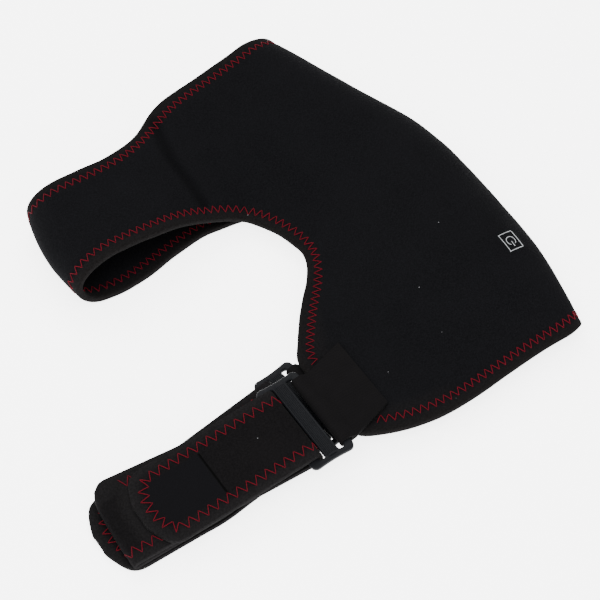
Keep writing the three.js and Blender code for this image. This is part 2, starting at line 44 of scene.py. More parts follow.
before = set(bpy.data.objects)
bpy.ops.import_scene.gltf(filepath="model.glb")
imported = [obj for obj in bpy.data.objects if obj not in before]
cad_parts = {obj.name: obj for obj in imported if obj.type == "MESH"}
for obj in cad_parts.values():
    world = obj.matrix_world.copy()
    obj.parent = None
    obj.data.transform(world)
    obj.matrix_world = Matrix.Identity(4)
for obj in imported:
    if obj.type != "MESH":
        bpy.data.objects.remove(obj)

MM = 0.001
CENTRE = (0.0, 0.0, 0.0)

# Course of the crease where the shell's padding ends, seen from above; shade is also painted along it
PAD_EDGE = [
    Vector((x, y, 0)) * MM for x, y in (
        (44.9, 132.6), (39.2, 119.6), (34.3, 104.3), (32.4, 89.0), (29.6, 72.1), (29.0, 62.1), (28.3, 55.4))]

# Middle of each buckle's strap bar, its tilt and its turn
BUCKLE_PLACES = {
    "front_buckle": (Vector((-44.837, -81.46, 14.85)) * MM, math.radians(6), math.radians(169)),
    "back_buckle": (Vector((-32.069, -70.8, 4.85)) * MM, 0.0, math.radians(178.194)),
}

LINT_COLOUR = (0.22, 0.22, 0.23)
SEAM_COLOUR = (0.0014, 0.0014, 0.0014)
MERGE_DISTANCE = 2e-6


# Sizes and colours

class WrapShell(bpy.types.PropertyGroup):
    """The neoprene shell."""
    wall: FloatProperty(
        name="Wall", description="Thickness of the neoprene", default=4.5 * MM, unit="LENGTH")
    rim_round: FloatProperty(
        name="Rim rounding", description="Radius along the cut edges", default=1.5 * MM, unit="LENGTH")
    channel_depth: FloatProperty(
        name="Stitch channel", description="How deep the stitching pulls the cloth in", default=0.5 * MM,
        unit="LENGTH")
    channel_width: FloatProperty(
        name="Stitch channel width", description="Width of the cloth that is pulled in", default=9 * MM,
        unit="LENGTH")
    cloth_colour: FloatVectorProperty(
        name="Cloth", description="Knit face of the shell", subtype="COLOR",
        default=(0.0034, 0.0034, 0.0039))
    edge_colour: FloatVectorProperty(
        name="Edge", description="Knit face where it is stretched round the rim", subtype="COLOR",
        default=(0.0054, 0.0049, 0.0049))
    crease_depth: FloatProperty(
        name="Pad crease", description="Depth of the soft crease where the padding ends", default=0.9 * MM,
        unit="LENGTH")
    crease_width: FloatProperty(
        name="Pad crease width", description="Width of that crease", default=13 * MM, unit="LENGTH")


class WrapThread(bpy.types.PropertyGroup):
    """The zigzag stitching along every edge."""
    radius: FloatProperty(
        name="Radius", description="Radius of the sewing thread", default=0.25 * MM, unit="LENGTH")
    shell_width: FloatProperty(
        name="Shell zigzag width", description="From one needle line to the other", default=5.0 * MM,
        unit="LENGTH")
    shell_inset: FloatProperty(
        name="Distance from the shell's edge", description="Edge to the middle of the zigzag",
        default=7.5 * MM, unit="LENGTH")
    shell_pitch: FloatProperty(
        name="Shell stitch length", description="One full zigzag along the shell", default=4.9 * MM,
        unit="LENGTH")
    strap_width: FloatProperty(
        name="Strap zigzag width", description="From one needle line to the other", default=6.1 * MM,
        unit="LENGTH")
    strap_inset: FloatProperty(
        name="Distance from the strap's edge", description="Edge to the middle of the zigzag",
        default=7.4 * MM, unit="LENGTH")
    strap_pitch: FloatProperty(
        name="Strap stitch length", description="One full zigzag along the strap", default=6.2 * MM,
        unit="LENGTH")
    colour: FloatVectorProperty(
        name="Thread", description="Zigzag thread", subtype="COLOR", default=(0.082, 0.0020, 0.0068))


class WrapStrap(bpy.types.PropertyGroup):
    """The strap, and the frame that it and the buckles share."""
    thickness: FloatProperty(
        name="Thickness", description="Thickness of the strap", default=3 * MM, unit="LENGTH")
    edge_round: FloatProperty(
        name="Edge rounding", description="Radius along the strap's edges", default=1.1 * MM, unit="LENGTH")
    origin: FloatVectorProperty(
        name="Origin", description="Middle of the upper flap's end", subtype="TRANSLATION",
        default=(-14.415 * MM, -78.511 * MM, 0.0))
    angle: FloatProperty(
        name="Direction", description="Turn of the strap's run from +X", default=math.radians(169),
        unit="ROTATION")
    seam_reach: FloatProperty(
        name="Seam", description="Flap end to the seam of the end patch", default=81 * MM, unit="LENGTH")
    seam_centre: FloatProperty(
        name="Seam centre", description="Middle of the seam across the strap", default=-11.5 * MM,
        unit="LENGTH")
    seam_half: FloatProperty(
        name="Seam half length", description="Half the length of the seam", default=15 * MM, unit="LENGTH")
    layer_height: FloatProperty(
        name="Upper layer", description="Height over which the cloth belongs to the upper layer",
        default=10.5 * MM, unit="LENGTH")
    patch_colour: FloatVectorProperty(
        name="End patch", description="Smoother patch at the strap's end", subtype="COLOR",
        default=(0.0034, 0.0033, 0.0038))
    cloth_colour: FloatVectorProperty(
        name="Cloth", description="Brushed face of the strap", subtype="COLOR",
        default=(0.0039, 0.0036, 0.0038))
    edge_colour: FloatVectorProperty(
        name="Edge", description="Strap's edge outside the zigzag", subtype="COLOR",
        default=(0.0068, 0.0064, 0.0066))


class WrapHardware(bpy.types.PropertyGroup):
    """Webbing tabs and slide buckles."""
    edge_round: FloatProperty(
        name="Moulded rounding", description="Second rounding of the buckle's bevel", default=0.22 * MM,
        unit="LENGTH")
    rib_count: IntProperty(
        name="Ribs", description="Fine ribs along the middle bar", default=9, min=3, max=15)
    rib_radius: FloatProperty(
        name="Rib radius", description="Radius of one rib", default=0.3 * MM, unit="LENGTH")
    bar_place: FloatProperty(
        name="Bar place", description="Strap bar to the middle of the ribbed bar", default=-9.75 * MM,
        unit="LENGTH")
    bar_width: FloatProperty(
        name="Bar width", description="Width of the ribbed bar", default=8.8 * MM, unit="LENGTH")
    bar_length: FloatProperty(
        name="Bar length", description="Length of the ribbed bar", default=56 * MM, unit="LENGTH")
    bar_rise: FloatProperty(
        name="Bar rise", description="Half the height of the ribbed bar", default=2.0 * MM, unit="LENGTH")
    plastic_colour: FloatVectorProperty(
        name="Plastic", description="Moulded buckle", subtype="COLOR", default=(0.0045, 0.0048, 0.0058))
    webbing_colour: FloatVectorProperty(
        name="Webbing", description="Flat woven tab", subtype="COLOR", default=(0.0042, 0.0039, 0.0041))


class WrapButton(bpy.types.PropertyGroup):
    """The switch under the cloth and its printed sign."""
    side: FloatProperty(name="Pad", description="Side of the raised square", default=17 * MM, unit="LENGTH")
    rise: FloatProperty(
        name="Rise", description="Height of the raised square", default=1.1 * MM, unit="LENGTH")
    frame_width: FloatProperty(
        name="Printed frame width", description="Printed frame across the sign", default=10 * MM,
        unit="LENGTH")
    frame_length: FloatProperty(
        name="Printed frame length", description="Printed frame along the sign", default=12.4 * MM,
        unit="LENGTH")
    line: FloatProperty(
        name="Line", description="Width of the printed lines", default=0.38 * MM, unit="LENGTH")
    ring_radius: FloatProperty(
        name="Ring", description="Radius of the printed ring", default=2.85 * MM, unit="LENGTH")
    print_colour: FloatVectorProperty(
        name="Print", description="Printed sign", subtype="COLOR", default=(0.30, 0.31, 0.32))


class WrapStage(bpy.types.PropertyGroup):
    """Floor, light and camera."""
    distance: FloatProperty(
        name="Camera distance", description="Camera to its aim", default=1.2, unit="LENGTH")
    lens: FloatProperty(name="Lens", description="Focal length in millimetres", default=122.4)
    azimuth: FloatProperty(
        name="Azimuth", description="Camera's turn round the object", default=math.radians(-44),
        unit="ROTATION")
    elevation: FloatProperty(
        name="Elevation", description="Camera's height over the horizon", default=math.radians(51),
        unit="ROTATION")
    aim: FloatVectorProperty(
        name="Aim", description="Middle of the picture on the table", subtype="TRANSLATION",
        default=(30.72 * MM, -10.68 * MM, 0.0))
    table_glow: FloatProperty(
        name="Table glow", description="Strength of the lit white table", default=4.0)
    light: FloatProperty(name="Light", description="Strength of the surrounding light", default=1.6)


GROUPS = {
    "wrap_shell": WrapShell, "wrap_thread": WrapThread, "wrap_strap": WrapStrap,
    "wrap_hardware": WrapHardware, "wrap_button": WrapButton, "wrap_stage": WrapStage,
}


# Finishes

class Finish:
    """Node material of one finish, built up step by step."""

    def __init__(self, name, roughness, sheen=0.0, specular=0.5):
        self.material = bpy.data.materials.new(name)
        self.material.use_nodes = True
        self.nodes = self.material.node_tree.nodes
        self.links = self.material.node_tree.links
        self.shader = self.nodes["Principled BSDF"]
        self.shader.inputs["Roughness"].default_value = roughness
        self.shader.inputs["Specular IOR Level"].default_value = specular
        self.shader.inputs["Sheen Weight"].default_value = sheen
        self.shader.inputs["Sheen Roughness"].default_value = 0.5
        self.place = self.nodes.new("ShaderNodeTexCoord").outputs["Object"]

    def turned(self, angle):
        """Object coordinates turned about Z, so that a weave follows the strap."""
        mapping = self.nodes.new("ShaderNodeMapping")
        mapping.inputs["Rotation"].default_value = (0.0, 0.0, -angle)
        self.links.new(self.place, mapping.inputs["Vector"])
        return mapping.outputs["Vector"]

    def grain(self, scale, detail=2.0, roughness=0.5, vector=None):
        texture = self.nodes.new("ShaderNodeTexNoise")
        texture.inputs["Scale"].default_value = scale
        texture.inputs["Detail"].default_value = detail
        texture.inputs["Roughness"].default_value = roughness
        self.links.new(vector or self.place, texture.inputs["Vector"])
        return texture.outputs["Fac"]

    def wave(self, scale, direction, vector):
        texture = self.nodes.new("ShaderNodeTexWave")
        texture.bands_direction = direction
        texture.inputs["Scale"].default_value = scale
        self.links.new(vector, texture.inputs["Vector"])
        return texture.outputs["Fac"]

    def specks(self, scale):
        """Distance to scattered places, for rare small spots."""
        texture = self.nodes.new("ShaderNodeTexVoronoi")
        texture.inputs["Scale"].default_value = scale
        self.links.new(self.place, texture.inputs["Vector"])
        return texture.outputs["Distance"]

    def attribute(self, name):
        node = self.nodes.new("ShaderNodeAttribute")
        node.attribute_name = name
        return node.outputs["Fac"]

    def sums(self, operation, first, second):
        node = self.nodes.new("ShaderNodeMath")
        node.operation = operation
        for socket, value in zip(node.inputs, (first, second)):
            if isinstance(value, (int, float)):
                socket.default_value = value
            else:
                self.links.new(value, socket)
        return node.outputs["Value"]

    def spread(self, value, low, high, new_low, new_high):
        node = self.nodes.new("ShaderNodeMapRange")
        names = ("From Min", "From Max", "To Min", "To Max")
        for name, number in zip(names, (low, high, new_low, new_high)):
            node.inputs[name].default_value = number
        self.links.new(value, node.inputs["Value"])
        return node.outputs["Result"]

    def mixed(self, share, first, second):
        node = self.nodes.new("ShaderNodeMix")
        node.data_type = "RGBA"
        self.links.new(share, node.inputs["Factor"])
        colour_inputs = [s for s in node.inputs if s.type == "RGBA"]
        for socket, value in zip(colour_inputs, (first, second)):
            if isinstance(value, bpy.types.NodeSocket):
                self.links.new(value, socket)
            else:
                socket.default_value = (*value, 1.0)
        return next(s for s in node.outputs if s.type == "RGBA")

    def coloured(self, colour):
        self.links.new(colour, self.shader.inputs["Base Color"])

    def embossed(self, height, depth, strength=1.0):
        node = self.nodes.new("ShaderNodeBump")
        node.inputs["Distance"].default_value = depth
        node.inputs["Strength"].default_value = strength
        self.links.new(height, node.inputs["Height"])
        self.links.new(node.outputs["Normal"], self.shader.inputs["Normal"])


def lighter(colour, factor):
    return tuple(min(1.0, channel * factor) for channel in colour)


def knit(finish, cloth, edge, coarse):
    """Colour and height of brushed cloth: fine pile, faint clouds, a paler rim, painted shade along the pad
    crease and a little lint.
    """
    clouds = finish.grain(35.0, detail=3.0)
    pile = finish.grain(coarse, detail=3.0, roughness=0.7)
    fibres = finish.grain(coarse * 2.6, detail=2.0, roughness=0.6)
    tufts = finish.spread(pile, 0.36, 0.66, 0.0, 1.0)
    body = finish.mixed(tufts, lighter(cloth, 0.75), lighter(cloth, 1.3))
    body = finish.mixed(finish.spread(clouds, 0.35, 0.7, 0.0, 0.35), body, lighter(cloth, 1.35))
    rim = finish.mixed(tufts, lighter(edge, 0.75), lighter(edge, 1.3))
    colour = finish.mixed(finish.attribute("rim"), body, rim)
    # Painted shade: the cloth is darkened along the pad crease, because the shallow dent casts too little
    # shade of its own
    shade = finish.spread(finish.attribute("crease_and_painted_shade"), 0.0, 1.0, 0.0, 0.45)
    colour = finish.mixed(shade, colour, lighter(cloth, 0.2))
    lint = finish.spread(finish.specks(62.0), 0.010, 0.017, 1.0, 0.0)
    colour = finish.mixed(lint, colour, LINT_COLOUR)
    return colour, finish.sums("ADD", pile, finish.sums("MULTIPLY", fibres, 0.5))


def knit_finish(name, cloth, edge, coarse, fuzz_depth):
    finish = Finish(name, roughness=0.95, sheen=0.006, specular=0.01)
    colour, height = knit(finish, cloth, edge, coarse)
    finish.coloured(colour)
    finish.embossed(height, fuzz_depth)
    return finish.material


def strap_finish(name, strap, fuzz_depth):
    """Brushed cloth with the seam and the smoother patch at the strap's end."""
    finish = Finish(name, roughness=0.95, sheen=0.006, specular=0.01)
    colour, height = knit(finish, tuple(strap.cloth_colour), tuple(strap.edge_colour), 900.0)
    cos, sin = math.cos(strap.angle), math.sin(strap.angle)
    start = Vector(strap.origin) @ Vector((cos, sin, 0)) + strap.seam_reach
    side = Vector(strap.origin) @ Vector((sin, -cos, 0)) + strap.seam_centre
    split = finish.nodes.new("ShaderNodeSeparateXYZ")
    finish.links.new(finish.turned(strap.angle), split.inputs["Vector"])
    along, across, up = (split.outputs[axis] for axis in "XYZ")
    top = finish.spread(up, strap.layer_height, strap.layer_height + 0.5 * MM, 0.0, 1.0)
    past = finish.sums("SUBTRACT", along, start)
    middle = finish.sums("ABSOLUTE", finish.sums("ADD", across, side), 0)
    within = finish.spread(middle, strap.seam_half, strap.seam_half + 1 * MM, 1.0, 0.0)
    near = finish.spread(finish.sums("ABSOLUTE", past, 0), 0.25 * MM, 0.8 * MM, 1.0, 0.0)
    line = finish.sums("MULTIPLY", finish.sums("MULTIPLY", near, within), top)
    beyond = finish.spread(past, 0, 1 * MM, 0.0, 1.0)
    patch = finish.sums("MULTIPLY", beyond, finish.sums("MULTIPLY", within, top))
    smooth = finish.mixed(
        finish.spread(height, 0.5, 1.0, 0.0, 1.0), strap.patch_colour[:], lighter(strap.patch_colour, 1.2))
    inside = finish.spread(finish.attribute("rim"), 0.0, 0.25, 1.0, 0.0)
    colour = finish.mixed(finish.sums("MULTIPLY", patch, inside), colour, smooth)
    finish.coloured(finish.mixed(line, colour, SEAM_COLOUR))
    finish.embossed(finish.sums("SUBTRACT", height, finish.sums("MULTIPLY", line, 4.0)), fuzz_depth)
    return finish.material


def thread_finish(name, colour):
    finish = Finish(name, roughness=0.6, sheen=0.0, specular=0.04)
    strands = finish.grain(2600.0, detail=1.0)
    share = finish.spread(strands, 0.35, 0.65, 0.0, 1.0)
    finish.coloured(finish.mixed(share, lighter(colour, 0.7), lighter(colour, 1.25)))
    finish.embossed(strands, 0.08 * MM)
    return finish.material


def weave_finish(name, colour, angle):
    """Flat weave: ribs along the strip crossed by finer picks."""
    finish = Finish(name, roughness=0.85, sheen=0.004, specular=0.01)
    along = finish.turned(angle)
    ribs = finish.wave(170.0, "Y", along)
    picks = finish.wave(260.0, "X", along)
    height = finish.sums("ADD", finish.sums("MULTIPLY", ribs, 0.6), finish.sums("MULTIPLY", picks, 0.4))
    clouds = finish.grain(120.0, detail=3.0)
    raised = finish.spread(height, 0.1, 0.9, 0.0, 1.0)
    tone = finish.mixed(raised, lighter(colour, 0.94), lighter(colour, 1.06))
    finish.coloured(finish.mixed(finish.spread(clouds, 0.4, 0.7, 0.0, 0.3), tone, lighter(colour, 1.3)))
    finish.embossed(height, 0.05 * MM)
    return finish.material


def plastic_finish(name, colour):
    finish = Finish(name, roughness=0.5, specular=0.05)
    speckle = finish.grain(900.0, detail=2.0)
    clouds = finish.grain(60.0)
    share = finish.spread(clouds, 0.3, 0.7, 0.0, 1.0)
    finish.coloured(finish.mixed(share, lighter(colour, 0.9), lighter(colour, 1.12)))
    finish.links.new(finish.spread(speckle, 0.3, 0.7, 0.42, 0.56), finish.shader.inputs["Roughness"])
    finish.embossed(speckle, 0.02 * MM)
    return finish.material


def print_finish(name, colour):
    finish = Finish(name, roughness=0.6, specular=0.3)
    wear = finish.grain(700.0, detail=2.0)
    share = finish.spread(wear, 0.3, 0.75, 0.0, 1.0)
    finish.coloured(finish.mixed(share, lighter(colour, 0.82), lighter(colour, 1.05)))
    finish.embossed(wear, 0.03 * MM)
    return finish.material


# Shapes

def merged_copy(node):
    """Copy of a solid with its corners joined and its triangles paired."""
    bm = bmesh.new()
    bm.from_mesh(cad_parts[node].data)
    bmesh.ops.remove_doubles(bm, verts=bm.verts, dist=MERGE_DISTANCE)
    bmesh.ops.join_triangles(
        bm, faces=bm.faces, angle_face_threshold=math.radians(38), angle_shape_threshold=math.radians(70))
    bm.normal_update()
    return bm


def rim_parts(bm, wall):
    """Edges through the wall at its rims, and the faces between them."""
    def bent(edge):
        return edge.is_manifold and edge.calc_face_angle() > math.radians(55)
    through = [
        edge for edge in bm.edges
        if abs(edge.calc_length() - wall) < 0.04 * wall and not bent(edge)
        and all(any(map(bent, v.link_edges)) for v in edge.verts)]
    faces = {face for edge in through for face in edge.link_faces}
    return set(through), {face for face in faces if any(bent(edge) for edge in face.edges)}


def rim_loops(bm, wall):
    """Closed chains along the rims of a wall: lists of (place, inward direction, surface normal)."""
    through, rim = rim_parts(bm, wall)
    edges = [
        edge for edge in bm.edges
        if edge not in through and len(edge.link_faces) == 2
        and sum(face in rim for face in edge.link_faces) == 1]
    neighbours, inward, normal = {}, {}, {}
    for edge in edges:
        surface = next(face for face in edge.link_faces if face not in rim)
        start, end = (v.co for v in edge.verts)
        along = (end - start).normalized()
        across = surface.calc_center_median() - (start + end) / 2
        across = (across - along * across.dot(along)).normalized()
        for v in edge.verts:
            neighbours.setdefault(v, []).append(edge.other_vert(v))
            inward[v] = inward.get(v, Vector()) + across
            normal[v] = normal.get(v, Vector()) + surface.normal
    chains, seen = [], set()
    for first in neighbours:
        if first in seen:
            continue
        chain, v = [], first
        while v is not None and v not in seen:
            seen.add(v)
            chain.append((v.co.copy(), inward[v].normalized(), normal[v].normalized()))
            v = next((other for other in neighbours[v] if other not in seen), None)
        chains.append(chain)
    return [chain for chain in chains if len(chain) > 12], edges


def joined(chains, wanted):
    """Chains joined at their nearest ends until the wanted number is left."""
    while len(chains) > wanted:
        options = [
            ((first[-1][0] - second[0][0]).length, a, b, first + second)
            for a, b in combinations(chains, 2) for first in (a, a[::-1]) for second in (b, b[::-1])]
        _, a, b, both = min(options, key=lambda option: option[0])
        chains = [chain for chain in chains if chain is not a and chain is not b] + [both]
    return chains


def shown(name, mesh, *materials):
    piece = bpy.data.objects.new(name, mesh)
    bpy.context.scene.collection.objects.link(piece)
    for material in materials:
        mesh.materials.append(material)
    return piece


def finished(bm, name, material, levels=0, sharp=None):
    """Object from a bmesh, with its surface divided smoothly."""
    mesh = bpy.data.meshes.new(name)
    bm.to_mesh(mesh)
    bm.free()
    piece = shown(name, mesh, material)
    if levels:
        smooth = piece.modifiers.new("Smooth", "SUBSURF")
        smooth.levels = smooth.render_levels = levels
        hold_outline(piece)
        apply_modifiers(piece)
    piece.data.shade_smooth()
    if sharp is not None:
        piece.data.set_sharp_from_angle(angle=math.radians(sharp))
    return piece


def hold_outline(piece, share=0.85):
    """Moves the corners outwards by what the smoothing will take off them."""
    smoothed = piece.evaluated_get(bpy.context.evaluated_depsgraph_get()).to_mesh()
    shifts = [v.co - smoothed.vertices[v.index].co for v in piece.data.vertices]
    for v, shift in zip(piece.data.vertices, shifts):
        v.co += shift * share


def apply_modifiers(piece):
    settled = bpy.data.meshes.new_from_object(piece.evaluated_get(bpy.context.evaluated_depsgraph_get()))
    old = piece.data
    piece.modifiers.clear()
    piece.data = settled
    bpy.data.meshes.remove(old)


def surface_tree(piece):
    bm = bmesh.new()
    bm.from_mesh(piece.data)
    tree = BVHTree.FromBMesh(bm)
    bm.free()
    return tree


def inset_path(chain, inset, passes=2):
    """Chain moved inwards over the surface and evened out."""
    points = [place + inward * inset for place, inward, _ in chain]
    for _ in range(passes):
        points = [
            (points[i - 1] + point * 2 + points[(i + 1) % len(points)]) / 4
            for i, point in enumerate(points)]
    return points


def stations(points, spacing):
    """Evenly spaced places along a closed chain, with the direction there."""
    closed = [*points, points[0]]
    lengths = [(b - a).length for a, b in zip(closed, closed[1:])]
    total = sum(lengths)
    count = 2 * max(2, round(total / spacing / 2))
    step, places, run, k = total / count, [], 0.0, 0
    for i in range(count):
        target = i * step
        while k < len(lengths) - 1 and run + lengths[k] < target:
            run += lengths[k]
            k += 1
        share = (target - run) / max(lengths[k], 1e-9)
        places.append((closed[k].lerp(closed[k + 1], share), (closed[k + 1] - closed[k]).normalized()))
    return places


def zigzag(name, tree, chains, inset, width, pitch, radius, material, covers=()):
    """Stitching along closed chains: each leg rises from one needle hole and sinks into the next."""
    data = bpy.data.curves.new(name, "CURVE")
    data.dimensions = "3D"
    data.bevel_depth = radius
    data.bevel_resolution = 1
    data.use_fill_caps = True

    def hidden(place, normal):
        start = place + normal * 0.2 * MM
        return any(cover.ray_cast(start, normal, 3 * MM)[0] is not None for cover in covers)

    def stitch(run):
        if len(run) < 2:
            return
        points = []
        for (here, up), (there, other_up) in zip(run, run[1:]):
            for share, rise in ((0.0, -0.9), (0.16, 0.45), (0.5, 0.75), (0.84, 0.45)):
                lift = up.lerp(other_up, share).normalized()
                points.append(here.lerp(there, share) + lift * rise * radius)
        points.append(run[-1][0] - run[-1][1] * 0.9 * radius)
        spline = data.splines.new("POLY")
        spline.points.add(len(points) - 1)
        for spot, point in zip(spline.points, points):
            spot.co = (*point, 1.0)

    for chain in chains:
        run, first = [], None
        for i, (place, along) in enumerate(stations(inset_path(chain, inset), pitch / 2)):
            _, up, _, _ = tree.find_nearest(place)
            side = along.cross(up).normalized()
            hole, up, _, _ = tree.find_nearest(place + side * (width / 2 if i % 2 else -width / 2))
            if hidden(hole, up):
                stitch(run)
                run = []
            else:
                run.append((hole, up))
            if i == 0 and run:
                first = run[0]
        if run and first:
            run.append(first)
        stitch(run)
    thread = bpy.data.objects.new(name, data)
    bpy.context.scene.collection.objects.link(thread)
    mesh = bpy.data.meshes.new_from_object(thread.evaluated_get(bpy.context.evaluated_depsgraph_get()))
    bpy.data.objects.remove(thread)
    mesh.materials.clear()
    piece = shown(name, mesh, material)
    mesh.shade_smooth()
    return piece


def dense(points, spacing):
    return [place for place, _ in stations(points, spacing)]


def tree_of(points):
    tree = KDTree(len(points))
    for i, point in enumerate(points):
        tree.insert(point, i)
    tree.balance()
    return tree


def press_channels(piece, chains, inset, depth, width):
    """Pulls the cloth in under the stitching and records how near each point lies to a rim."""
    channel = tree_of([p for chain in chains for p in dense(inset_path(chain, inset), 1.2 * MM)])
    rims = tree_of([p for chain in chains for p in dense([place for place, _, _ in chain], 1.2 * MM)])
    normals = [v.normal.copy() for v in piece.data.vertices]
    rim = piece.data.attributes.new("rim", "FLOAT", "POINT")
    for v, normal in zip(piece.data.vertices, normals):
        near = channel.find(v.co)[2] / (width / 2)
        distance = rims.find(v.co)[2] / inset
        rim.data[v.index].value = min(1.0, max(0.0, 1.15 - distance)) ** 0.8
        if near < 1:
            v.co -= normal * depth * (1 - near * near) ** 2


def sink(piece, amount):
    """Moves each point along its normal by amount(point)."""
    shifts = [v.normal * amount(v.co) for v in piece.data.vertices]
    for v, shift in zip(piece.data.vertices, shifts):
        v.co += shift


def ride(piece, slot, *nodes):
    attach(piece, "root")
    if nodes:
        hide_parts(*nodes)


# Pieces

class WRAP_OT_shell(bpy.types.Operator):
    """Neoprene shell with rounded rims and stitch channels"""
    bl_idname = "wrap.shell"
    bl_label = "Neoprene shell"

    def execute(self, context):
        shell, thread = context.scene.wrap_shell, context.scene.wrap_thread
        bm = merged_copy("body")
        chains, rim_edges = rim_loops(bm, shell.wall)
        if len(chains) != 4:
            raise RuntimeError(f"the shell has {len(chains)} rims")
        corners = {v for edge in rim_edges for v in edge.verts}
        through, _ = rim_parts(bm, shell.wall)
        rim_set = set(rim_edges)
        inner = [
            edge for v in corners for edge in v.link_edges
            if edge not in rim_set and edge not in through and not edge.other_vert(v) in corners]
        bmesh.ops.subdivide_edges(bm, edges=list(set(inner)), cuts=2)
        bmesh.ops.bevel(
            bm, geom=[edge for edge in rim_edges if edge.is_valid], offset=shell.rim_round,
            offset_type="OFFSET", segments=2, profile=0.5, affect="EDGES", material=-1)
        cloth = knit_finish(
            "neoprene_knit", tuple(shell.cloth_colour), tuple(shell.edge_colour), 1000.0, 0.22 * MM)
        piece = finished(bm, "neoprene_shell", cloth, levels=2)
        press_channels(piece, chains, thread.shell_inset, shell.channel_depth, shell.channel_width)
        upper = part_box("body")[1].z / 2
        crease_and_painted_shade = tree_of([
            a.lerp(b, share / 12) for a, b in zip(PAD_EDGE, PAD_EDGE[1:]) for share in range(12)])

        def creased(co):
            near = crease_and_painted_shade.find((co.x, co.y, 0))[2] / (shell.crease_width / 2)
            return 0.0 if near > 1 or co.z < upper else (1 - near * near) ** 2

        def dents(co):
            waves = 0.35 * MM * (noise.noise(co * 28) + 0.5 * noise.noise(co * 75))
            return waves - shell.crease_depth * creased(co)
        # Nearness to the pad crease, kept for the finish, which paints shade along it
        painted_crease_shade_mask = piece.data.attributes.new("crease_and_painted_shade", "FLOAT", "POINT")
        for v in piece.data.vertices:
            painted_crease_shade_mask.data[v.index].value = creased(v.co)
        sink(piece, dents)
        ride(piece, "neoprene", "body")
        tree = surface_tree(piece)
        covers = [
            surface_tree(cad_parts[node])
            for node in ("front_webbing_tab", "back_webbing_tab", "back_buckle")]
        zigzag_piece = zigzag(
            "shell_stitching", tree, chains, thread.shell_inset, thread.shell_width, thread.shell_pitch,
            thread.radius, thread_finish("red_thread", tuple(thread.colour)), covers)
        ride(zigzag_piece, "red_thread")
        return {"FINISHED"}


class WRAP_OT_strap(bpy.types.Operator):
    """Strap folded on itself, with its end patch seam and stitching"""
    bl_idname = "wrap.strap"
    bl_label = "Strap"

    def execute(self, context):
        strap, thread = context.scene.wrap_strap, context.scene.wrap_thread
        bm = merged_copy("strap")
        chains, rim_edges = rim_loops(bm, strap.thickness)
        chains = joined(chains, 2)
        if len(chains) != 2:
            raise RuntimeError(f"the strap has {len(chains)} rims")
        bmesh.ops.bevel(
            bm, geom=rim_edges, offset=strap.edge_round, offset_type="OFFSET", segments=2, profile=0.5,
            affect="EDGES", material=-1)
        cloth = strap_finish("strap_cloth", strap, 0.16 * MM)
        piece = finished(bm, "strap_cloth", cloth, levels=2)
        press_channels(piece, chains, thread.strap_inset, 0.28 * MM, 7 * MM)
        ride(piece, "strap_cloth", "strap")
        stitches = zigzag(
            "strap_stitching", surface_tree(piece), chains, thread.strap_inset, thread.strap_width,
            thread.strap_pitch, thread.radius, thread_finish("strap_thread", tuple(thread.colour)))
        ride(stitches, "red_thread")
        return {"FINISHED"}


class WRAP_OT_webbing_tabs(bpy.types.Operator):
    """Webbing strips folded round the buckles' tab bars and sewn to the flaps"""
    bl_idname = "wrap.webbing_tabs"
    bl_label = "Webbing tabs"

    def execute(self, context):
        strap, hardware = context.scene.wrap_strap, context.scene.wrap_hardware
        weave = weave_finish("webbing_weave", tuple(hardware.webbing_colour), strap.angle)
        for node in ("front_webbing_tab", "back_webbing_tab"):
            bm = bmesh.new()
            bm.from_mesh(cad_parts[node].data)
            bmesh.ops.remove_doubles(bm, verts=bm.verts, dist=MERGE_DISTANCE)
            bmesh.ops.dissolve_limit(bm, angle_limit=math.radians(1), verts=bm.verts, edges=bm.edges)
            bm.normal_update()
            sharp = [
                e for e in bm.edges if e.is_manifold and e.calc_face_angle() > math.radians(50)]
            bmesh.ops.bevel(
                bm, geom=sharp, offset=0.35 * MM, offset_type="OFFSET", segments=2, profile=0.5,
                affect="EDGES", material=-1, clamp_overlap=True)
            piece = finished(bm, node + "_cloth", weave, sharp=40)
            ride(piece, "webbing", node)
        return {"FINISHED"}


